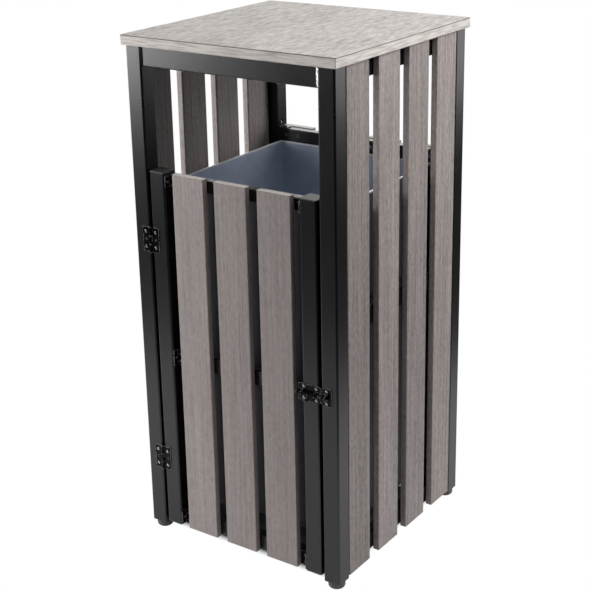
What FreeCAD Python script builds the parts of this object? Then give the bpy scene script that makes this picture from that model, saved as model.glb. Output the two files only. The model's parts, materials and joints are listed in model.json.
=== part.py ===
"""Outdoor litter bin: a welded square-tube cabinet clad with slats, a hinged front door, a top board and a
liner. Millimetres, +Z up, origin on the floor at the centre of the plan, front of the bin towards -Y."""

import FreeCAD, Part

import os

V = FreeCAD.Vector

# Overall frame
FRAME_W = 390.0
HALF = FRAME_W / 2
POST_W = 30.0
POST_WALL = 1.5
TUBE_RADIUS = 3.0
INNER = HALF - POST_W
FOOT_H = 14.0
POST_TOP = 850.0

# Top board
BOARD_OVERHANG = 5.5
BOARD_T = 16.5
BOARD_RADIUS = 1.5

# Slats
SLAT_W = 61.5
SLAT_T = 12.0
SLAT_OUTER_RADIUS = 1.2
SLAT_INNER_RADIUS = 3.0
SLAT_END_GAP = 1.0
WALL_SLATS = 4
WALL_SLAT_BOTTOM = 16.5
REAR_SLAT_TOP = 646.0

# Rails of the side and rear walls
RAIL_D = POST_W - SLAT_T
RAIL_WALL = 1.5
RAIL_RADIUS = 2.0
SIDE_RAIL_H = 32.0
SIDE_SCREW_ROW = 16.0
REAR_RAIL_H = 28.0
REAR_SCREW_ROW = 17.0
TOP_RAIL_Z = POST_TOP - SIDE_RAIL_H
MID_RAIL_Z = 422.0
BOTTOM_RAIL_Z = 19.0
REAR_UPPER_RAIL_Z = REAR_SLAT_TOP - 1.0 - REAR_RAIL_H
CROSS_RAIL_RECESS = 2.5
WELD_LEG = 3.2
WELD_BITE = 1.3

# Door
DOOR_GAP = 5.0
DOOR_HALF = INNER - DOOR_GAP
STILE_W = POST_W
STILE_INNER = DOOR_HALF - STILE_W
DOOR_D = 28.0
DOOR_BOTTOM = 20.0
DOOR_TOP = 651.0
DOOR_RAILS = {"bottom": (DOOR_BOTTOM, 28.0), "mid": (319.0, 28.0), "top": (626.0, 20.0)}
DOOR_SLATS = 3
DOOR_SLAT_PITCH = 82.5
CAP_T = 2.0
CAP_PLUG_H = 8.0
FIT_GAP = 0.1

# Hinges
HINGE_CENTRES_Z = (142.5, 535.0)
HINGE_H = 42.0
HINGE_LEAF_T = 1.2
HINGE_REACH = 16.5
HINGE_SLOT = 3.0
KNUCKLE_R = 2.4
KNUCKLE_AXIAL_GAP = 0.3
PIN_R = 1.2
PIN_CLEARANCE = 0.05
PIN_HEAD_H = 0.8
PIN_X = -(INNER - DOOR_GAP / 2)
PIN_Y = -HALF - KNUCKLE_R - 0.1
HINGE_SCREW_OFFSET = 10.0
HINGE_SCREW_HALF_PITCH = 13.0
SPARE_HOLE_R = 1.7

# Barrel bolt
BOLT_Z = 339.0
BOLT_PLATE_T = 1.2
BOLT_PLATE_X = (122.5, 164.5)
BOLT_PLATE_HALF_H = 14.0
BOLT_PLATE_SCREWS_X = (133.5, 156.8)
BOLT_PLATE_SCREW_OFFSET = 9.5
ROD_R = 3.0
ROD_X = (120.0, 165.5)
ROD_Y = -HALF - BOLT_PLATE_T - 0.5 - ROD_R
GUIDE_CLEARANCE = 0.05
GUIDE_WALL = 1.5
GUIDES_X = ((123.0, 132.0), (155.0, 164.0))
KNOB_X = 144.0
KNOB_STEM_R = 2.0
KNOB_R = 3.2
KNOB_REACH = 9.0
KEEPER_X = (166.5, 184.5)
KEEPER_HALF_H = 15.0
KEEPER_LOOP_X = (168.5, 176.5)
KEEPER_CLEARANCE = 0.6
KEEPER_CORNER_R = 2.5
KEEPER_SCREW_X = 175.5
KEEPER_SCREW_OFFSET = 10.0
PLATE_RADIUS = 3.0

# Liner and the bars under it
LINER_W = 310.0
LINER_CENTRE_Y = 6.0
LINER_BOTTOM = 64.0
LINER_TOP = 624.0
LINER_WALL = 1.2
LINER_RADIUS = 4.0
LINER_HEM_H = 14.0
LINER_HEM_T = 1.4
BAR_W = 20.0
BAR_HALF_LENGTH = 176.0
BAR_Y = 118.0
BAR_WALL = 1.5

# Levelling feet: half-profile of the glide as radius and height
GLIDE_PAD_R = 9.5
GLIDE_R = 14.0
GLIDE_TOP = 10.5
GLIDE_SHOULDER_Z = 6.0
NECK_R = 8.0
NECK_GAP = 0.3
STUD_R = 4.0
STUD_CLEARANCE = 0.06
STUD_TOP = 36.0
INSERT_H = 20.0
INSERT_FLANGE_T = 1.2

# Angle brackets
BRACKET_T = 1.5
REAR_BRACKET_W = 14.0
REAR_BRACKET_H = 14.0
REAR_BRACKET_L = 19.5
DOOR_BRACKET_MARGIN = 1.0
DOOR_BRACKET_ARM = 16.0
DOOR_BRACKET_DEPTH = 11.0

# Screws: head radius, head height, shank radius, length under the head
SLAT_SCREW = (3.6, 1.6, 1.9, RAIL_D + 8.0)
DOOR_SLAT_SCREW = (3.6, 1.6, 1.9, DOOR_D - SLAT_T + 8.0)
BOARD_SCREW = (4.2, 2.2, 2.1, SIDE_RAIL_H + 11.0)
SMALL_SCREW = (2.6, 1.2, 1.4, 8.0)
HOLE_CLEARANCE = 0.15
SLAT_SCREW_SPREAD = 13.0
BOARD_SCREW_SPREAD = 90.0


def box(x0, x1, y0, y1, z0, z1):
    return Part.makeBox(x1 - x0, y1 - y0, z1 - z0, V(x0, y0, z0))


def edges_along(shape, axis):
    """The straight edges of a shape that run along axis 0, 1 or 2."""
    found = []
    for edge in shape.Edges:
        start, end = (v.Point for v in edge.Vertexes)
        if abs((end - start)[axis]) > 0.99 * edge.Length:
            found.append(edge)
    return found


def bar(bounds, axis, radius):
    """A solid rectangular bar with its four long edges rounded."""
    solid = box(*bounds)
    return solid.makeFillet(radius, edges_along(solid, axis))


def shrink(bounds, axis, wall):
    """The bounds moved in by the wall thickness on the four sides round an axis."""
    inner = list(bounds)
    for i in range(3):
        if i != axis:
            inner[2 * i] += wall
            inner[2 * i + 1] -= wall
    return inner


def tube(bounds, axis, wall, radius):
    """A rectangular tube, open at both ends."""
    return bar(bounds, axis, radius).cut(bar(shrink(bounds, axis, wall), axis, radius - wall / 2))


def cylinder(start, direction, radius, length):
    return Part.makeCylinder(radius, length, start, direction)


def turned(shape, quarter_turns):
    """A copy turned about the vertical axis by quarter turns."""
    copy = shape.copy()
    copy.rotate(V(0, 0, 0), V(0, 0, 1), 90 * quarter_turns)
    return copy


def turned_point(point, quarter_turns):
    return FreeCAD.Rotation(V(0, 0, 1), 90 * quarter_turns).multVec(point)


def make_screw(size):
    """A pan-head screw standing on the plane z = 0 with its shank below and a cross recess on top."""
    head_r, head_h, shank_r, length = size
    head = Part.makeCylinder(head_r, head_h)
    head = head.makeFillet(0.6 * head_h, [e for e in head.Edges if e.BoundBox.ZMin > 0.9 * head_h])
    arm = 0.62 * head_r
    slot = 0.16 * head_r
    deep = 0.6 * head_h
    for half_x, half_y in ((arm, slot), (slot, arm)):
        head = head.cut(box(-half_x, half_x, -half_y, half_y, deep, 2 * head_h))
    shank = Part.makeCylinder(shank_r, length - shank_r, V(0, 0, -length + shank_r))
    tip = Part.makeCone(0.2 * shank_r, shank_r, shank_r, V(0, 0, -length))
    return head.fuse([shank, tip]).removeSplitter()


def placed(shape, point, outward):
    """A copy of a screw with its head on a point and facing outward."""
    copy = shape.copy()
    copy.Placement = FreeCAD.Placement(point, FreeCAD.Rotation(V(0, 0, 1), outward))
    return copy


def screws(size, seats):
    """Screws on (point, outward direction) seats, as separate solids."""
    pattern = make_screw(size)
    return [placed(pattern, point, outward) for point, outward in seats]


def drill(shape, size, seats):
    """A shape with a clearance hole for each screw that reaches it."""
    for point, outward in seats:
        hole = cylinder(point + outward, -outward, size[2] + HOLE_CLEARANCE, size[3] + 2.0)
        if shape.BoundBox.intersect(hole.BoundBox):
            shape = shape.cut(hole)
    return shape


def group(shapes):
    return Part.makeCompound(shapes)


def save(name, shape):
    shape.exportStep(f"parts/{name}.step")


# Walls. Each wall is drawn as the front one, facing -Y, and turned into place.
RIGHT, REAR, LEFT = 1, 2, 3


def wall_slat_centres():
    pitch = (2 * INNER - 2 * SLAT_END_GAP - SLAT_W) / (WALL_SLATS - 1)
    return [(i - (WALL_SLATS - 1) / 2) * pitch for i in range(WALL_SLATS)]


def make_slat(centre, z0, z1):
    """A slat with small outer and larger inner roundings along its length."""
    slat = box(centre - SLAT_W / 2, centre + SLAT_W / 2, -HALF, -HALF + SLAT_T, z0, z1)
    outer = [e for e in edges_along(slat, 2) if e.BoundBox.YMax < -HALF + SLAT_T / 2]
    slat = slat.makeFillet(SLAT_OUTER_RADIUS, outer)
    inner = [e for e in edges_along(slat, 2) if e.BoundBox.YMin > -HALF + SLAT_T - 0.01]
    return slat.makeFillet(SLAT_INNER_RADIUS, inner)


def make_wall_rail(z0, height):
    bounds = (-INNER, INNER, -HALF + SLAT_T, -INNER, z0, z0 + height)
    return tube(bounds, 0, RAIL_WALL, RAIL_RADIUS)


def slat_seats(centres, rail_heights, inner_y):
    """Two screws side by side through each rail into each slat, heads on the inner face."""
    seats = []
    for z in rail_heights:
        for centre in centres:
            for side in (-1, 1):
                seats.append((V(centre + side * SLAT_SCREW_SPREAD, inner_y, z), V(0, 1, 0)))
    return seats


def build_wall(prefix, turn, slat_top, rail_seats, rails):
    """Save the slats and rails of one wall and return its slat screws. rails maps a node name to its lower
    edge, its height and how far up it the screws sit. rail_seats are more screws that reach the rails."""
    centres = wall_slat_centres()
    seats = slat_seats(centres, [z + row for z, height, row in rails.values()], -INNER)
    for name, (z, height, row) in rails.items():
        rail = turned(drill(make_wall_rail(z, height), SLAT_SCREW, seats), turn)
        for size, more_seats in rail_seats:
            rail = drill(rail, size, more_seats)
        save(name, rail)
    numbered = centres if turn == RIGHT else centres[::-1]
    for number, centre in enumerate(numbered, 1):
        slat = drill(make_slat(centre, WALL_SLAT_BOTTOM, slat_top), SLAT_SCREW, seats)
        save(f"{prefix}_slat_{number}", turned(slat, turn))
    return [turned(screw, turn) for screw in screws(SLAT_SCREW, seats)]


def board_seats():
    """Two screws up through each top rail into the board."""
    seats = []
    line = INNER + RAIL_D / 2
    cross_line = HALF - CROSS_RAIL_RECESS - RAIL_D / 2
    for turn in range(4):
        offset = line if turn in (RIGHT, LEFT) else cross_line
        for side in (-1, 1):
            point = turned_point(V(side * BOARD_SCREW_SPREAD, -offset, TOP_RAIL_Z), turn)
            seats.append((point, V(0, 0, -1)))
    return seats


def make_board(seats):
    edge = HALF + BOARD_OVERHANG
    board = box(-edge, edge, -edge, edge, POST_TOP, POST_TOP + BOARD_T)
    board = board.makeFillet(BOARD_RADIUS, board.Edges)
    return drill(board, BOARD_SCREW, seats)


def make_post(x_side, y_side):
    xs = sorted((x_side * INNER, x_side * HALF))
    ys = sorted((y_side * INNER, y_side * HALF))
    return tube((*xs, *ys, FOOT_H, POST_TOP), 2, POST_WALL, TUBE_RADIUS)


def make_cross_rail(seats):
    """The front top rail, set back a little between the posts."""
    y0 = -HALF + CROSS_RAIL_RECESS
    rail = tube((-INNER, INNER, y0, y0 + RAIL_D, TOP_RAIL_Z, POST_TOP), 0, RAIL_WALL, RAIL_RADIUS)
    return drill(rail, BOARD_SCREW, seats)


def make_weld(side):
    """A fillet bead in the corner between a post and the set-back front rail."""
    face_y = -HALF + CROSS_RAIL_RECESS
    z0 = TOP_RAIL_Z + RAIL_RADIUS
    on_rail = V(side * (INNER - WELD_LEG), face_y, z0)
    in_post = V(side * (INNER + WELD_BITE), face_y, z0)
    on_post = V(side * (INNER + WELD_BITE), face_y - CROSS_RAIL_RECESS + 0.4, z0)
    face = Part.Face(Part.makePolygon([on_rail, in_post, on_post, on_rail]))
    bead = face.extrude(V(0, 0, SIDE_RAIL_H - 2 * RAIL_RADIUS))
    xs = sorted((side * INNER, side * HALF))
    return bead.cut(bar((*xs, -HALF, -INNER, FOOT_H, POST_TOP), 2, TUBE_RADIUS))


def make_insert(x, y):
    """A flanged plastic plug in the end of a post, with a bore for the stud."""
    reach = POST_W / 2 - POST_WALL - FIT_GAP
    edge = POST_W / 2
    plug = bar((x - reach, x + reach, y - reach, y + reach, FOOT_H, FOOT_H + INSERT_H), 2, TUBE_RADIUS)
    flange = bar((x - edge, x + edge, y - edge, y + edge, FOOT_H - INSERT_FLANGE_T, FOOT_H), 2, TUBE_RADIUS)
    bore = cylinder(V(x, y, 0), V(0, 0, 1), STUD_R + STUD_CLEARANCE, 100.0)
    return plug.fuse(flange).cut(bore)


def make_foot(x, y):
    """A round glide with a bowed side, a neck and a stud, fully screwed in."""
    neck_top = FOOT_H - INSERT_FLANGE_T - NECK_GAP
    axis_low = V(0, 0, 0)
    pad = V(GLIDE_PAD_R, 0, 0)
    shoulder = V(GLIDE_R, 0, GLIDE_SHOULDER_Z)
    bow = V(GLIDE_R - 1.2, 0, GLIDE_SHOULDER_Z * 0.35)
    rim = V(GLIDE_R, 0, GLIDE_TOP - 1.0)
    rim_in = V(GLIDE_R - 1.0, 0, GLIDE_TOP)
    rim_mid = V(GLIDE_R - 0.3, 0, GLIDE_TOP - 0.3)
    outline = [
        Part.LineSegment(axis_low, pad),
        Part.Arc(pad, bow, shoulder),
        Part.LineSegment(shoulder, rim),
        Part.Arc(rim, rim_mid, rim_in),
        Part.LineSegment(rim_in, V(NECK_R, 0, GLIDE_TOP)),
        Part.LineSegment(V(NECK_R, 0, GLIDE_TOP), V(NECK_R, 0, neck_top)),
        Part.LineSegment(V(NECK_R, 0, neck_top), V(STUD_R, 0, neck_top)),
        Part.LineSegment(V(STUD_R, 0, neck_top), V(STUD_R, 0, STUD_TOP)),
        Part.LineSegment(V(STUD_R, 0, STUD_TOP), V(0, 0, STUD_TOP)),
        Part.LineSegment(V(0, 0, STUD_TOP), axis_low),
    ]
    face = Part.Face(Part.Wire([piece.toShape() for piece in outline]))
    foot = face.revolve(V(0, 0, 0), V(0, 0, 1), 360)
    foot.translate(V(x, y, 0))
    return foot


def rear_bracket_parts():
    """Small angle brackets that stand on the rear rails against the posts, and their screw seats."""
    brackets = []
    seats = []
    y_mid = INNER + RAIL_D / 2
    for rail_z in (REAR_UPPER_RAIL_Z, MID_RAIL_Z, BOTTOM_RAIL_Z):
        rail_top = rail_z + REAR_RAIL_H
        for side in (-1, 1):
            ys = (y_mid - REAR_BRACKET_W / 2, y_mid + REAR_BRACKET_W / 2)
            post_face = side * INNER
            upright_x = sorted((post_face, post_face - side * BRACKET_T))
            foot_x = sorted((post_face, post_face - side * REAR_BRACKET_L))
            upright = box(*upright_x, *ys, rail_top, rail_top + REAR_BRACKET_H)
            top_edges = [e for e in edges_along(upright, 0) if e.BoundBox.ZMin > rail_top + 1]
            upright = upright.makeFillet(0.45 * REAR_BRACKET_W, top_edges)
            foot = box(*foot_x, *ys, rail_top, rail_top + BRACKET_T)
            brackets.append(upright.fuse(foot).removeSplitter())
            seats.append((V(post_face - side * BRACKET_T, y_mid, rail_top + 8.0), V(-side, 0, 0)))
            seats.append((V(post_face - side * 13.0, y_mid, rail_top + BRACKET_T), V(0, 0, 1)))
    return brackets, seats


def make_shelf_bar(y):
    bounds = (-BAR_HALF_LENGTH, BAR_HALF_LENGTH, y - BAR_W / 2, y + BAR_W / 2,
              BOTTOM_RAIL_Z + SIDE_RAIL_H, LINER_BOTTOM)
    return tube(bounds, 0, BAR_WALL, RAIL_RADIUS)


def bar_seats():
    x = (LINER_W / 2 + BAR_HALF_LENGTH) / 2 + 4.0
    return [(V(sx * x, sy * BAR_Y, LINER_BOTTOM), V(0, 0, 1)) for sx in (-1, 1) for sy in (-1, 1)]


def make_liner():
    """A square sheet-metal tub with a hemmed rim turned to the inside."""
    half = LINER_W / 2
    y0 = LINER_CENTRE_Y - half
    y1 = LINER_CENTRE_Y + half
    outer = bar((-half, half, y0, y1, LINER_BOTTOM, LINER_TOP), 2, LINER_RADIUS)
    lip = LINER_WALL + LINER_HEM_T
    body = bar((-half + LINER_WALL, half - LINER_WALL, y0 + LINER_WALL, y1 - LINER_WALL,
                LINER_BOTTOM + LINER_WALL, LINER_TOP - LINER_HEM_H), 2, LINER_RADIUS - LINER_WALL)
    mouth = bar((-half + lip, half - lip, y0 + lip, y1 - lip,
                 LINER_TOP - LINER_HEM_H - 1.0, LINER_TOP + 1.0), 2, LINER_RADIUS - lip)
    return outer.cut(body).cut(mouth)


def make_stile(side):
    xs = sorted((side * STILE_INNER, side * DOOR_HALF))
    bounds = (*xs, -HALF, -HALF + DOOR_D, DOOR_BOTTOM + CAP_T, DOOR_TOP - CAP_T)
    return tube(bounds, 2, POST_WALL, TUBE_RADIUS)


def make_stile_cap(side, upward):
    """A plastic end cap: a plate over the tube's end with a hollow plug inside it."""
    xs = sorted((side * STILE_INNER, side * DOOR_HALF))
    ys = (-HALF, -HALF + DOOR_D)
    end = DOOR_TOP if upward else DOOR_BOTTOM
    tube_end = end - CAP_T if upward else end + CAP_T
    plate = bar((*xs, *ys, *sorted((end, tube_end))), 2, TUBE_RADIUS)
    plug_end = tube_end - CAP_PLUG_H if upward else tube_end + CAP_PLUG_H
    inset = POST_WALL + FIT_GAP
    plug = tube((xs[0] + inset, xs[1] - inset, ys[0] + inset, ys[1] - inset,
                 *sorted((tube_end, plug_end))), 2, 1.5, TUBE_RADIUS)
    return plate.fuse(plug)


def make_door_rail(z0, height):
    bounds = (-STILE_INNER, STILE_INNER, -HALF + SLAT_T, -HALF + DOOR_D, z0, z0 + height)
    return tube(bounds, 0, RAIL_WALL, RAIL_RADIUS)


def door_bracket_parts():
    """Angle brackets in the corners between the door rails and the stiles, and their screw seats."""
    brackets = []
    seats = []
    rail_face = -HALF + SLAT_T
    for z, height in DOOR_RAILS.values():
        z0 = z + DOOR_BRACKET_MARGIN
        z1 = z + height - DOOR_BRACKET_MARGIN
        middle = z + height / 2
        for side in (-1, 1):
            stile_face = side * STILE_INNER
            arm_x = sorted((stile_face, stile_face - side * DOOR_BRACKET_ARM))
            leg_x = sorted((stile_face, stile_face - side * BRACKET_T))
            arm = box(*arm_x, rail_face - BRACKET_T, rail_face, z0, z1)
            leg = box(*leg_x, rail_face - DOOR_BRACKET_DEPTH, rail_face, z0, z1)
            brackets.append(arm.fuse(leg).removeSplitter())
            seats.append((V(stile_face - side * BRACKET_T, rail_face - 6.5, middle), V(-side, 0, 0)))
            for dz in (-0.23 * height, 0.23 * height):
                seats.append((V(stile_face - side * 8.0, rail_face - BRACKET_T, middle + dz), V(0, -1, 0)))
    return brackets, seats


def make_leaf(side, centre_z):
    """One hinge leaf with its knuckles. The frame leaf (side -1) has the two end knuckles, the door leaf
    (side 1) the middle one."""
    z0 = centre_z - HINGE_H / 2
    third = HINGE_H / 3
    face = -HALF
    edge = PIN_X + side * HINGE_REACH
    xs = sorted((edge, PIN_X + side * HINGE_SLOT))
    plate = box(*xs, face - HINGE_LEAF_T, face, z0, z0 + HINGE_H)
    outer = [e for e in edges_along(plate, 1) if abs(e.BoundBox.XMin - edge) < 0.01]
    leaf = plate.makeFillet(1.5, outer)
    spans = [(0.0, third), (2 * third, 3 * third)] if side < 0 else [(third, 2 * third)]
    for low, high in spans:
        low += KNUCKLE_AXIAL_GAP if low > 0 else 0.0
        high -= KNUCKLE_AXIAL_GAP if high < HINGE_H else 0.0
        barrel = cylinder(V(PIN_X, PIN_Y, z0 + low), V(0, 0, 1), KNUCKLE_R, high - low)
        tab_x = sorted((PIN_X, PIN_X + side * HINGE_SLOT))
        tab = box(*tab_x, PIN_Y + KNUCKLE_R - HINGE_LEAF_T, PIN_Y + KNUCKLE_R, z0 + low, z0 + high)
        leaf = leaf.fuse([barrel, tab])
    leaf = leaf.cut(cylinder(V(PIN_X, PIN_Y, z0 - 1), V(0, 0, 1), PIN_R + PIN_CLEARANCE, HINGE_H + 2))
    spare = cylinder(V(PIN_X + side * HINGE_SCREW_OFFSET, face - 5, centre_z), V(0, 1, 0), SPARE_HOLE_R, 6)
    return leaf.cut(spare)


def hinge_seats(side):
    x = PIN_X + side * HINGE_SCREW_OFFSET
    y = -HALF - HINGE_LEAF_T
    return [(V(x, y, z + dz * HINGE_SCREW_HALF_PITCH), V(0, -1, 0)) for z in HINGE_CENTRES_Z for dz in (-1, 1)]


def make_pin(centre_z):
    z0 = centre_z - HINGE_H / 2
    pin = cylinder(V(PIN_X, PIN_Y, z0 - PIN_HEAD_H), V(0, 0, 1), PIN_R, HINGE_H + 2 * PIN_HEAD_H)
    for z in (z0 - PIN_HEAD_H, z0 + HINGE_H):
        pin = pin.fuse(cylinder(V(PIN_X, PIN_Y, z), V(0, 0, 1), 0.75 * KNUCKLE_R, PIN_HEAD_H))
    return pin.removeSplitter()


def make_plate(x0, x1, half_height):
    """A thin plate on the front face with rounded corners."""
    plate = box(x0, x1, -HALF - BOLT_PLATE_T, -HALF, BOLT_Z - half_height, BOLT_Z + half_height)
    return plate.makeFillet(PLATE_RADIUS, edges_along(plate, 1))


def make_guide(x0, x1):
    """A round-backed strap that arches over the bolt rod and stands on the plate."""
    bore_r = ROD_R + GUIDE_CLEARANCE
    outer_r = bore_r + GUIDE_WALL
    length = x1 - x0
    start = V(x0, ROD_Y, BOLT_Z)
    plate_y = -HALF - BOLT_PLATE_T
    arch = cylinder(start, V(1, 0, 0), outer_r, length)
    front_half = box(x0, x1, ROD_Y - outer_r, ROD_Y, BOLT_Z - outer_r, BOLT_Z + outer_r)
    legs = box(x0, x1, ROD_Y, plate_y, BOLT_Z - outer_r, BOLT_Z + outer_r)
    hollow = box(x0, x1, ROD_Y, plate_y, BOLT_Z - bore_r, BOLT_Z + bore_r)
    return arch.common(front_half).fuse(legs).cut(cylinder(start, V(1, 0, 0), bore_r, length)).cut(hollow)


def make_staple(x0, x1):
    """A square-mouthed strap that the bolt rod enters, with rounded outer corners."""
    half = ROD_R + KEEPER_CLEARANCE
    outer = half + GUIDE_WALL
    plate_y = -HALF - BOLT_PLATE_T
    strap = box(x0, x1, ROD_Y - outer, plate_y, BOLT_Z - outer, BOLT_Z + outer)
    front = [e for e in edges_along(strap, 0) if e.BoundBox.YMax < ROD_Y]
    strap = strap.makeFillet(KEEPER_CORNER_R, front)
    return strap.cut(box(x0, x1, ROD_Y - half, plate_y, BOLT_Z - half, BOLT_Z + half))


def bolt_plate_seats():
    y = -HALF - BOLT_PLATE_T
    seats = []
    for x in BOLT_PLATE_SCREWS_X:
        for dz in (-BOLT_PLATE_SCREW_OFFSET, BOLT_PLATE_SCREW_OFFSET):
            seats.append((V(x, y, BOLT_Z + dz), V(0, -1, 0)))
    return seats


def keeper_seats():
    y = -HALF - BOLT_PLATE_T
    return [(V(KEEPER_SCREW_X, y, BOLT_Z + dz), V(0, -1, 0)) for dz in (-KEEPER_SCREW_OFFSET, KEEPER_SCREW_OFFSET)]


def make_bolt_rod():
    """The sliding rod with a finger knob that hangs forward and down."""
    rod = cylinder(V(ROD_X[0], ROD_Y, BOLT_Z), V(1, 0, 0), ROD_R, ROD_X[1] - ROD_X[0])
    rod = rod.makeChamfer(0.8, [e for e in rod.Edges if e.BoundBox.XLength < 0.01])
    centre = V(KNOB_X, ROD_Y, BOLT_Z)
    direction = V(0, -0.55, -0.835).normalize()
    stem = cylinder(centre, direction, KNOB_STEM_R, KNOB_REACH)
    knob = Part.makeSphere(KNOB_R, centre + direction * KNOB_REACH)
    return rod.fuse([stem, knob])


def build_posts(seats):
    for end, y_side in (("front", -1), ("rear", 1)):
        for side, x_side in (("left", -1), ("right", 1)):
            save(f"{end}_{side}_post", drill(make_post(x_side, y_side), SMALL_SCREW, seats))


def build_walls(seats_on_rear, seats_on_board):
    """The three slatted walls. Returns all their slat screws."""
    under_board = [(BOARD_SCREW, seats_on_board)]
    shelf = [(SLAT_SCREW, bar_seats())]
    found = []
    for prefix, turn in (("left", LEFT), ("right", RIGHT)):
        rails = {
            f"{prefix}_top_rail": (TOP_RAIL_Z, SIDE_RAIL_H, SIDE_SCREW_ROW),
            f"{prefix}_mid_rail": (MID_RAIL_Z, SIDE_RAIL_H, SIDE_SCREW_ROW),
            f"{prefix}_bottom_rail": (BOTTOM_RAIL_Z, SIDE_RAIL_H, SIDE_SCREW_ROW),
        }
        found += build_wall(prefix, turn, POST_TOP, under_board + shelf, rails)
    rails = {
        "rear_upper_rail": (REAR_UPPER_RAIL_Z, REAR_RAIL_H, REAR_SCREW_ROW),
        "rear_mid_rail": (MID_RAIL_Z, REAR_RAIL_H, REAR_SCREW_ROW),
        "rear_bottom_rail": (BOTTOM_RAIL_Z, REAR_RAIL_H, REAR_SCREW_ROW),
    }
    found += build_wall("rear", REAR, REAR_SLAT_TOP, [(SMALL_SCREW, seats_on_rear)], rails)
    return found


def build_top(seats):
    save("top_board", make_board(seats))
    front_rail = make_cross_rail(seats)
    save("front_top_rail", front_rail)
    save("rear_top_rail", turned(front_rail, REAR))
    beads = [make_weld(side) for side in (-1, 1)]
    save("rail_welds", group(beads + [turned(bead, REAR) for bead in beads]))
    save("board_screws", group(screws(BOARD_SCREW, seats)))


def build_feet():
    middle = INNER + POST_W / 2
    inserts = []
    for end, y in (("front", -middle), ("rear", middle)):
        for side, x in (("left", -middle), ("right", middle)):
            inserts.append(make_insert(x, y))
            save(f"{end}_{side}_foot", make_foot(x, y))
    save("post_inserts", group(inserts))


def build_liner():
    bars = [drill(make_shelf_bar(y), SLAT_SCREW, bar_seats()) for y in (-BAR_Y, BAR_Y)]
    save("shelf_bars", group(bars))
    save("liner", make_liner())


def build_door_frame(hardware_seats):
    """The welded door frame with its caps, brackets, slats and their screws."""
    brackets, bracket_seats = door_bracket_parts()
    centres = [(i - (DOOR_SLATS - 1) / 2) * DOOR_SLAT_PITCH for i in range(DOOR_SLATS)]
    rows = [z + height / 2 for z, height in DOOR_RAILS.values()]
    seats = slat_seats(centres, rows, -HALF + DOOR_D)
    for name, side in (("left", -1), ("right", 1)):
        save(f"door_{name}_stile", drill(make_stile(side), SMALL_SCREW, hardware_seats + bracket_seats))
    for name, (z, height) in DOOR_RAILS.items():
        rail = drill(make_door_rail(z, height), SMALL_SCREW, bracket_seats)
        save(f"door_{name}_rail", drill(rail, DOOR_SLAT_SCREW, seats))
    for number, centre in enumerate(centres, 1):
        slat = make_slat(centre, DOOR_BOTTOM, DOOR_TOP)
        save(f"door_slat_{number}", drill(slat, DOOR_SLAT_SCREW, seats))
    save("door_stile_caps", group([make_stile_cap(side, up) for side in (-1, 1) for up in (False, True)]))
    save("door_brackets", group([drill(bracket, SMALL_SCREW, bracket_seats) for bracket in brackets]))
    save("door_slat_screws", group(screws(DOOR_SLAT_SCREW, seats)))
    save("door_bracket_screws", group(screws(SMALL_SCREW, bracket_seats)))


def build_hinges():
    for name, side in (("hinge_frame_leaves", -1), ("hinge_door_leaves", 1)):
        leaves = [drill(make_leaf(side, z), SMALL_SCREW, hinge_seats(side)) for z in HINGE_CENTRES_Z]
        save(name, group(leaves))
    save("hinge_pins", group([make_pin(z) for z in HINGE_CENTRES_Z]))


def build_bolt():
    guide = make_plate(*BOLT_PLATE_X, BOLT_PLATE_HALF_H)
    guide = guide.fuse([make_guide(x0, x1) for x0, x1 in GUIDES_X])
    save("bolt_guide", drill(guide, SMALL_SCREW, bolt_plate_seats()))
    keeper = make_plate(*KEEPER_X, KEEPER_HALF_H).fuse(make_staple(*KEEPER_LOOP_X))
    save("bolt_keeper", drill(keeper, SMALL_SCREW, keeper_seats()))
    save("bolt", make_bolt_rod())


def main():
    os.makedirs("parts", exist_ok=True)
    top_seats = board_seats()
    post_seats = hinge_seats(-1) + keeper_seats()
    door_seats = hinge_seats(1) + bolt_plate_seats()
    brackets, bracket_seats = rear_bracket_parts()
    build_posts(post_seats + bracket_seats)
    build_top(top_seats)
    wall_screws = build_walls(bracket_seats, top_seats)
    save("slat_screws", group(wall_screws + screws(SLAT_SCREW, bar_seats())))
    save("rear_rail_brackets", group([drill(bracket, SMALL_SCREW, bracket_seats) for bracket in brackets]))
    save("bracket_screws", group(screws(SMALL_SCREW, bracket_seats)))
    save("cabinet_hardware_screws", group(screws(SMALL_SCREW, post_seats)))
    build_feet()
    build_liner()
    build_door_frame(door_seats)
    save("door_hardware_screws", group(screws(SMALL_SCREW, door_seats)))
    build_hinges()
    build_bolt()


main()
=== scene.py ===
"""Looks of the litter bin: procedural materials for the CAD parts, studio light, floor and camera."""

import json
import math

import bpy
from mathutils import Matrix, Vector

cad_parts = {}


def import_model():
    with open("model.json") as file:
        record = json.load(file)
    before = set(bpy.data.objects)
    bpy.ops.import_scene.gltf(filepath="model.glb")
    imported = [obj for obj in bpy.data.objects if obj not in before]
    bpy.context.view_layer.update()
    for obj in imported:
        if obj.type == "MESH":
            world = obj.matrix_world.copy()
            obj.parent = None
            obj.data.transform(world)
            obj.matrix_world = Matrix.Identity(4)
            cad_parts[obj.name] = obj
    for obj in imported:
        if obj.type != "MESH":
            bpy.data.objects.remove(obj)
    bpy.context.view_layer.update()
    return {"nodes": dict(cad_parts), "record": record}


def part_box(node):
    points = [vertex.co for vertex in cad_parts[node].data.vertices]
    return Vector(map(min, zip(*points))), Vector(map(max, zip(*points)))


# Camera, in the row frame
CAMERA_POSITION = (1.2100, -1.7418, 1.2178)
CAMERA_AZIMUTH = 0.61263
CAMERA_PITCH = 0.32310
CAMERA_ROLL = -0.01982
CAMERA_LENS = 81.50
CAMERA_SENSOR = 36.0
CAMERA_SHIFT = (-0.0014, -0.0939)

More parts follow.
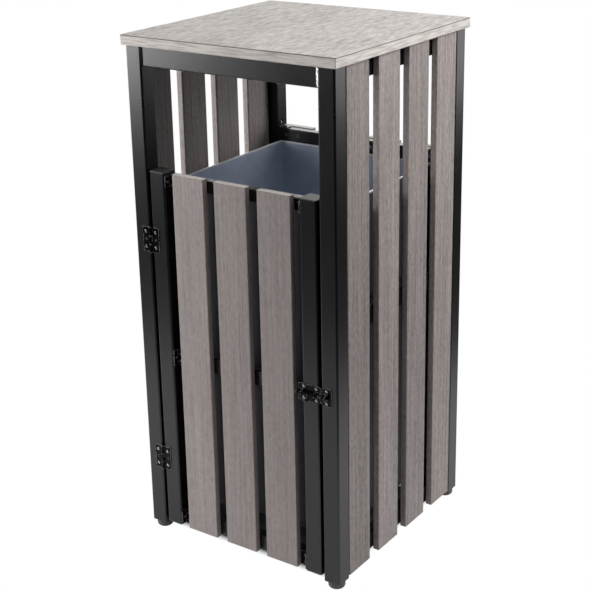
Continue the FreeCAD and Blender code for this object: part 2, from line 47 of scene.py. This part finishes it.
# Slats: linear colours from the dark to the light of the grain, the pale ends as a painted highlight, and each
# board's tone, partly its own and partly painted shade of how light falls across the boards
SLAT_DARK = (0.153, 0.129, 0.121)
SLAT_LIGHT = (0.430, 0.376, 0.362)
SLAT_END_HIGHLIGHT = (0.860, 0.800, 0.740)
SLAT_CONTRAST = {"door": 1.0, "wall": 1.7}
SLAT_TONES_AND_SHADE = {"door": (0.97, 0.89, 0.86), "wall": (0.81, 0.99, 0.89, 1.03)}

# Top board: linear colours of grain and glue line, and the depths below its top between which the line lies
BOARD_DARK = (0.235, 0.208, 0.188)
BOARD_LIGHT = (0.625, 0.585, 0.556)
BOARD_LINE = (0.120, 0.100, 0.090)
GLUE_LINE_START = (0.0003, 0.0009)
GLUE_LINE_END = (0.0016, 0.0022)

# Frame and welds: linear colours; the pale weld colour is a painted highlight
STEEL_BLACK = (0.005, 0.005, 0.005)
WELD_HIGHLIGHT = (0.62, 0.62, 0.63)

# Liner: linear colours, with the outside's dark colour a painted shade and the rim's pale colour a painted
# highlight, sheet thickness, and how far the painted rim highlight reaches down
LINER_INSIDE = (0.59, 0.665, 0.78)
LINER_OUTSIDE_SHADE = (0.125, 0.130, 0.150)
LINER_RIM_HIGHLIGHT = (0.97, 0.98, 1.0)
LINER_WALL = 0.0012
LINER_RIM_HIGHLIGHT_DEPTH = (0.0022, 0.0030)

# Hardware: linear colours, width of the pale edges, partly wear and partly painted highlight, and the match of
# bevelled and flat normals from plain to pale edge
HARDWARE_BLACK = (0.004, 0.004, 0.005)
HARDWARE_WEAR_AND_HIGHLIGHT = (0.45, 0.45, 0.45)
WEAR_AND_HIGHLIGHT_WIDTH = 0.0010
WEAR_AND_HIGHLIGHT_MATCH = (0.98, 0.88)
ZINC = (0.34, 0.34, 0.34)

# Plastic: linear colours, and the height at which the pad of a foot ends
PLASTIC_BLACK = (0.060, 0.060, 0.060)
FOOT_GREY = (0.060, 0.058, 0.060)
FOOT_PAD = (0.180, 0.130, 0.110)
FOOT_PAD_TOP = (0.0018, 0.0026)

# Floor and background: linear colours, with a painted shadow under the bin, and the distances over which they
# blend
FLOOR_NEAR = (0.92, 0.92, 0.92)
FLOOR_FAR = (0.06, 0.06, 0.06)
FLOOR_UNDER_SHADOW = (0.20, 0.20, 0.20)
FLOOR_GLOW = 0.11
FLOOR_CENTRE = (-0.26, 0.03, 0.0)
FLOOR_EDGE = (0.80, 1.18)
BACKGROUND = (1.0, 1.0, 1.0)
BACKGROUND_FADE = (0.156, 0.172)

# Lights: position, target, size across and up, power in watts
LIGHTS = {
    "over_right": ((1.3, -0.4, 2.3), (0.0, 0.0, 0.5), (1.0, 1.0), 8.5),
    "near_right": ((1.0, 0.0, 1.35), (0.15, 0.05, 0.78), (0.7, 0.7), 8.6),
    "over_rear": ((0.3, 1.5, 2.3), (0.0, 0.0, 0.5), (1.0, 1.0), 15.0),
    "left_front": ((-1.71, -1.23, 1.15), (-0.25, 0.0, 1.15), (1.15, 1.5), 58.0),
    "right_rear": ((1.2, 1.25, 1.15), (0.0, 0.0, 1.15), (1.1, 1.5), 13.0),
    "backdrop": ((-1.2, 1.65, 1.3), (0.0, 0.0, 0.6), (1.6, 1.4), 15.0),
}
WORLD_STRENGTH = 0.01


class Material:
    """A node material with short calls for adding and joining nodes."""

    def __init__(self, name):
        self.material = bpy.data.materials.new(name)
        self.material.use_nodes = True
        self.tree = self.material.node_tree
        self.shader = self.tree.nodes["Principled BSDF"]

    def add(self, kind, inputs=None, **settings):
        made = self.tree.nodes.new(kind)
        for name, value in settings.items():
            setattr(made, name, value)
        for key, value in (inputs or {}).items():
            self.put(made.inputs[key], value)
        return made

    def put(self, socket, value):
        if isinstance(value, bpy.types.NodeSocket):
            self.tree.links.new(value, socket)
        elif isinstance(value, tuple) and socket.type == "RGBA":
            socket.default_value = (*value, 1.0)
        else:
            socket.default_value = value

    def surface(self, **values):
        for name, value in values.items():
            self.put(self.shader.inputs[name.replace("_", " ").title().replace("Ior", "IOR")], value)

    def point(self):
        return self.add("ShaderNodeTexCoord").outputs["Object"]

    def noise(self, scale, detail=2.0, roughness=0.5):
        """3D noise on object coordinates, with its own frequency along each axis in cycles per metre."""
        stretched = self.add("ShaderNodeMapping", {"Vector": self.point(), "Scale": scale})
        inputs = {"Vector": stretched.outputs[0], "Scale": 1.0, "Detail": detail, "Roughness": roughness}
        return self.add("ShaderNodeTexNoise", inputs).outputs["Fac"]

    def math(self, operation, a, b=0.0, c=0.0):
        return self.add("ShaderNodeMath", {0: a, 1: b, 2: c}, operation=operation).outputs[0]

    def spread(self, value, low, high):
        """Value mapped from low..high to 0..1, with limits."""
        inputs = {"Value": value, "From Min": low, "From Max": high}
        return self.add("ShaderNodeMapRange", inputs).outputs[0]

    def mix(self, factor, a, b):
        made = self.add("ShaderNodeMix", data_type="RGBA")
        self.put(made.inputs["Factor"], factor)
        self.put(made.inputs[6], a)
        self.put(made.inputs[7], b)
        return made.outputs[2]

    def multiply(self, a, b):
        made = self.add("ShaderNodeMix", data_type="RGBA", blend_type="MULTIPLY")
        made.inputs["Factor"].default_value = 1.0
        self.put(made.inputs[6], a)
        self.put(made.inputs[7], b)
        return made.outputs[2]

    def normal_axis(self, axis):
        """Size of the surface normal along one axis, 0 to 1."""
        normal = self.add("ShaderNodeTexCoord").outputs["Normal"]
        parts = self.add("ShaderNodeSeparateXYZ", {0: normal})
        return self.math("ABSOLUTE", parts.outputs[axis])

    def bump(self, height, distance, strength=1.0):
        made = self.add("ShaderNodeBump", {"Height": height, "Distance": distance, "Strength": strength})
        self.put(self.shader.inputs["Normal"], made.outputs[0])


def slat_material(name, contrast):
    """Wood-look board with fine lengthwise grain and end faces painted pale as a highlight. contrast scales
    the grain, and the object's colour is the tone of its board, partly its own and partly painted shade."""
    m = Material(name)
    fine = m.noise((520.0, 520.0, 9.0), 2.0)
    streak = m.noise((230.0, 230.0, 3.0), 3.0)
    mottle = m.noise((300.0, 300.0, 130.0), 2.0)
    broad = m.noise((22.0, 22.0, 4.0))
    grain = m.math("MULTIPLY_ADD", fine, 0.5, m.math("MULTIPLY", streak, 0.5))
    uneven = m.math("MULTIPLY_ADD", mottle, 0.30, m.math("MULTIPLY", broad, 0.12))
    level = m.math("MULTIPLY_ADD", grain, 0.58, uneven)
    half_range = 0.26 / contrast
    face = m.mix(m.spread(level, 0.5 - half_range, 0.5 + half_range), SLAT_DARK, SLAT_LIGHT)
    # painted highlight: end faces, up and down alike, take the pale colour
    end_highlight = m.spread(m.normal_axis("Z"), 0.7, 0.9)
    toned_and_shaded = m.multiply(face, m.add("ShaderNodeObjectInfo").outputs["Color"])
    m.surface(base_color=m.mix(end_highlight, toned_and_shaded, SLAT_END_HIGHLIGHT), roughness=0.6)
    m.bump(grain, 0.0004 * contrast)
    return m.material


def board_material(top_z):
    """Pale board with short flecks of grain along Y, a banded edge and a dark glue line under the top."""
    m = Material("top_board")
    fine = m.noise((420.0, 60.0, 420.0), 3.0)
    fleck = m.noise((170.0, 28.0, 170.0), 3.0, 0.6)
    broad = m.noise((14.0, 7.0, 14.0))
    grain = m.math("MULTIPLY_ADD", fine, 0.5, m.math("MULTIPLY", fleck, 0.5))
    level = m.math("MULTIPLY_ADD", broad, 0.12, m.math("MULTIPLY", grain, 0.88))
    top = m.mix(m.spread(level, 0.335, 0.585), BOARD_DARK, BOARD_LIGHT)
    band = m.noise((26.0, 26.0, 330.0), 3.0)
    edge = m.mix(m.spread(band, 0.14, 0.58), BOARD_DARK, BOARD_LIGHT)
    depth = m.math("SUBTRACT", top_z, m.add("ShaderNodeSeparateXYZ", {0: m.point()}).outputs["Z"])
    below = m.spread(depth, *GLUE_LINE_START)
    above = m.math("SUBTRACT", 1.0, m.spread(depth, *GLUE_LINE_END))
    edge = m.mix(m.math("MULTIPLY", below, above), edge, BOARD_LINE)
    is_top = m.spread(m.normal_axis("Z"), 0.8, 0.95)
    m.surface(base_color=m.mix(is_top, edge, top), roughness=0.6, specular_ior_level=0.3)
    m.bump(grain, 0.0002)
    return m.material


def steel_material():
    """Satin black powder coat."""
    m = Material("frame_steel")
    peel = m.noise((700.0, 700.0, 700.0), 2.0)
    patch = m.noise((12.0, 12.0, 12.0))
    m.surface(base_color=STEEL_BLACK, roughness=m.math("MULTIPLY_ADD", patch, 0.06, 0.25))
    m.bump(peel, 0.00003)
    return m.material


def weld_material():
    """Rough black coated beads, with pale metallic patches painted on the right as a highlight."""
    m = Material("rail_welds")
    lumps = m.noise((500.0, 500.0, 260.0), 2.0)
    # painted highlight: pale metallic patches only on the beads right of the middle
    side = m.spread(m.add("ShaderNodeSeparateXYZ", {0: m.point()}).outputs["X"], -0.01, 0.01)
    highlight_patches = m.math("MULTIPLY", m.spread(lumps, 0.42, 0.5), side)
    m.surface(base_color=m.mix(highlight_patches, STEEL_BLACK, WELD_HIGHLIGHT), metallic=highlight_patches, roughness=0.35)
    m.bump(lumps, 0.0012)
    return m.material


def liner_material(low, high):
    """Sheet steel: satin and faintly blue inside, painted dark outside as shade, with a painted highlight on
    the rim.
    """
    m = Material("liner_sheet")
    place = m.add("ShaderNodeSeparateXYZ", {0: m.point()})
    half = (high.x - low.x - LINER_WALL) / 2
    along = m.math("ABSOLUTE", place.outputs["X"])
    across = m.math("ABSOLUTE", m.math("SUBTRACT", place.outputs["Y"], (low.y + high.y) / 2))
    # painted shade: the outer faces of the walls take a darker colour
    outside = m.spread(m.math("MAXIMUM", along, across), half - 0.0001, half + 0.0001)
    # painted highlight: a pale band along the top of the rim
    near, far = LINER_RIM_HIGHLIGHT_DEPTH
    rim_highlight = m.spread(place.outputs["Z"], high.z - far, high.z - near)
    patch = m.noise((60.0, 60.0, 60.0), 3.0)
    inner = m.mix(m.spread(patch, 0.3, 0.7), tuple(0.9 * c for c in LINER_INSIDE), LINER_INSIDE)
    walls = m.mix(outside, inner, LINER_OUTSIDE_SHADE)
    m.surface(base_color=m.mix(rim_highlight, walls, LINER_RIM_HIGHLIGHT), metallic=0.45,
              roughness=m.math("MULTIPLY_ADD", patch, 0.08, 0.36))
    return m.material


def hardware_material():
    """Glossy black coated plate with paler edges, partly wear and partly a painted highlight."""
    m = Material("hardware_steel")
    rounded = m.add("ShaderNodeBevel", {"Radius": WEAR_AND_HIGHLIGHT_WIDTH}, samples=6).outputs[0]
    flat = m.add("ShaderNodeNewGeometry").outputs["Normal"]
    match = m.add("ShaderNodeVectorMath", {0: rounded, 1: flat}, operation="DOT_PRODUCT").outputs["Value"]
    patch = m.noise((260.0, 260.0, 260.0), 3.0)
    # pale edges, partly wear and partly a painted highlight of edges catching the light
    edge = m.math("MULTIPLY", m.spread(match, *WEAR_AND_HIGHLIGHT_MATCH), m.spread(patch, 0.38, 0.52))
    m.surface(base_color=m.mix(edge, HARDWARE_BLACK, HARDWARE_WEAR_AND_HIGHLIGHT), specular_ior_level=0.1,
              roughness=m.math("MULTIPLY_ADD", patch, 0.1, 0.12))
    return m.material


def coated_material(name, color, roughness, metallic=0.0):
    """A small moulded or plated piece with a slight unevenness."""
    m = Material(name)
    patch = m.noise((300.0, 300.0, 300.0), 3.0)
    tone = m.mix(m.spread(patch, 0.3, 0.7), tuple(0.8 * c for c in color), color)
    m.surface(base_color=tone, metallic=metallic,
              roughness=m.math("MULTIPLY_ADD", patch, 0.12, roughness - 0.06))
    m.bump(patch, 0.00004)
    return m.material


def foot_material():
    """Dark moulded glide with a paler pad below it."""
    m = Material("foot_plastic")
    height = m.add("ShaderNodeSeparateXYZ", {0: m.point()}).outputs["Z"]
    patch = m.noise((300.0, 300.0, 300.0), 3.0)
    m.surface(base_color=m.mix(m.spread(height, *FOOT_PAD_TOP), FOOT_PAD, FOOT_GREY),
              roughness=m.math("MULTIPLY_ADD", patch, 0.15, 0.35))
    m.bump(patch, 0.00004)
    return m.material


def dress(frame):
    """Each node takes the material of its slot in the record, apart from the wall slats and the welds."""
    materials = {
        "slat_board": slat_material("slat_board", SLAT_CONTRAST["door"]),
        "top_board": board_material(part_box("top_board")[1][2]),
        "frame_steel": steel_material(),
        "liner_sheet": liner_material(*(Vector(corner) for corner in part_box("liner"))),
        "hardware_steel": hardware_material(),
        "screw_steel": coated_material("screw_steel", ZINC, 0.14, 1.0),
        "black_plastic": coated_material("black_plastic", PLASTIC_BLACK, 0.4),
        "foot_plastic": foot_material(),
    }
    wall_slats = slat_material("wall_slat_board", SLAT_CONTRAST["wall"])
    welds = weld_material()
    for entry in frame["record"]["subparts"]:
        name = entry["node"]
        material = materials[entry["material_slot"]]
        side, _, number = name.partition("_slat_")
        if number.isdigit():
            kind = "door" if side == "door" else "wall"
            # each board's tone, partly its own and partly painted shade of how light falls across the boards
            tone = SLAT_TONES_AND_SHADE[kind][int(number) - 1]
            frame["nodes"][name].color = (tone, tone, tone, 1.0)
            if kind == "wall":
                material = wall_slats
        elif name == "rail_welds":
            material = welds
        mesh = frame["nodes"][name].data
        mesh.materials.clear()
        mesh.materials.append(material)


def make_floor():
    """A pale floor round the bin, with a painted shadow under it, and dark to the light far off. Away from the
    bin's footprint the camera sees it as an even white."""
    bpy.ops.mesh.primitive_plane_add(size=30.0, location=(0, 0, -0.0002))
    floor = bpy.context.object
    floor.name = "floor"
    m = Material("floor")
    offset = {0: m.point(), 1: FLOOR_CENTRE}
    distance = m.add("ShaderNodeVectorMath", offset, operation="DISTANCE").outputs["Value"]
    place = m.add("ShaderNodeSeparateXYZ", {0: m.point()})
    across = [m.math("ABSOLUTE", place.outputs[axis]) for axis in "XY"]
    beside = m.math("MAXIMUM", *across)
    clear = m.spread(beside, *BACKGROUND_FADE)
    far = m.spread(distance, *FLOOR_EDGE)
    # painted shadow: the floor inside the bin's footprint is dark
    lit = m.mix(clear, FLOOR_UNDER_SHADOW, m.mix(far, FLOOR_NEAR, FLOOR_FAR))
    glow = m.math("MULTIPLY", m.math("MULTIPLY", clear, m.math("SUBTRACT", 1.0, far)), FLOOR_GLOW)
    m.surface(base_color=lit, roughness=0.9, emission_color=BACKGROUND, emission_strength=glow)
    seen = m.add("ShaderNodeLightPath").outputs["Is Camera Ray"]
    away = m.math("MULTIPLY", clear, seen)
    white = m.add("ShaderNodeEmission", {"Color": BACKGROUND}).outputs[0]
    blend = m.add("ShaderNodeMixShader", {0: away, 1: m.shader.outputs[0], 2: white}).outputs[0]
    m.put(m.tree.nodes["Material Output"].inputs["Surface"], blend)
    floor.data.materials.append(m.material)


def make_world():
    """A white background to the camera that gives the bin hardly any light."""
    world = bpy.data.worlds.new("studio")
    bpy.context.scene.world = world
    world.use_nodes = True
    background = world.node_tree.nodes["Background"]
    background.inputs["Color"].default_value = (*BACKGROUND, 1.0)
    seen = world.node_tree.nodes.new("ShaderNodeLightPath").outputs["Is Camera Ray"]
    strength = world.node_tree.nodes.new("ShaderNodeMath")
    strength.operation = "MAXIMUM"
    strength.inputs[1].default_value = WORLD_STRENGTH
    world.node_tree.links.new(seen, strength.inputs[0])
    world.node_tree.links.new(strength.outputs[0], background.inputs["Strength"])


def make_lights():
    for name, (position, target, size, power) in LIGHTS.items():
        light = bpy.data.lights.new(name, "AREA")
        light.shape = "RECTANGLE"
        light.size, light.size_y = size
        light.energy = power
        lamp = bpy.data.objects.new(name, light)
        lamp.location = position
        lamp.visible_camera = False
        lamp.rotation_euler = (Vector(target) - Vector(position)).to_track_quat("-Z", "Y").to_euler()
        bpy.context.collection.objects.link(lamp)


def make_camera():
    a, e = CAMERA_AZIMUTH, CAMERA_PITCH
    back = Vector((math.sin(a) * math.cos(e), -math.cos(a) * math.cos(e), math.sin(e)))
    right = Vector((math.cos(a), math.sin(a), 0))
    up = back.cross(right)
    c, s = math.cos(CAMERA_ROLL), math.sin(CAMERA_ROLL)
    columns = (c * right + s * up, c * up - s * right, back)
    data = bpy.data.cameras.new("camera")
    data.lens = CAMERA_LENS
    data.sensor_width = CAMERA_SENSOR
    data.shift_x, data.shift_y = CAMERA_SHIFT
    camera = bpy.data.objects.new("camera", data)
    camera.matrix_world = Matrix.Translation(CAMERA_POSITION) @ Matrix(columns).transposed().to_4x4()
    bpy.context.collection.objects.link(camera)
    bpy.context.scene.camera = camera


def main():
    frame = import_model()
    dress(frame)
    make_floor()
    make_world()
    make_lights()
    make_camera()
    bpy.context.scene.view_settings.view_transform = "Standard"


main()
